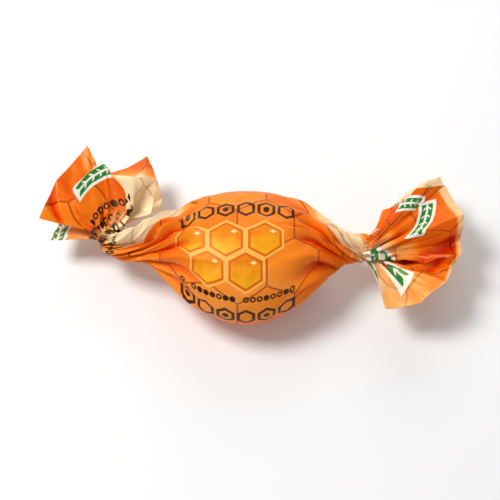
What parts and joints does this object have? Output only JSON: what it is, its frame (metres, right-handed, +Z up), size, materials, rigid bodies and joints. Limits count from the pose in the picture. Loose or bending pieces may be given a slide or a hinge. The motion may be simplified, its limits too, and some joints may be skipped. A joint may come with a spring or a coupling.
{
  "type": "twist-wrapped hard candy",
  "caption": "Oval hard candy shut in a printed film wrapper that is twisted into a neck and spread into a folded fan at each end, lying on its flat side.",
  "frame": {"origin": "middle of the small flat that the candy's body rests on", "axes": "+X along the candy from the left fan to the right one, +Y to the back of the candy as it lies, +Z up through the printed face"},
  "size_m": [0.0553, 0.0247, 0.0116],
  "materials": {
    "printed_film": "satin-gloss printed film in orange and cream with thin brown honeycomb lines and golden cells, creased and pleated towards both twists"
  },
  "bodies": {
    "root": {"wrapped_candy": "printed_film"}
  },
  "joints": []
}
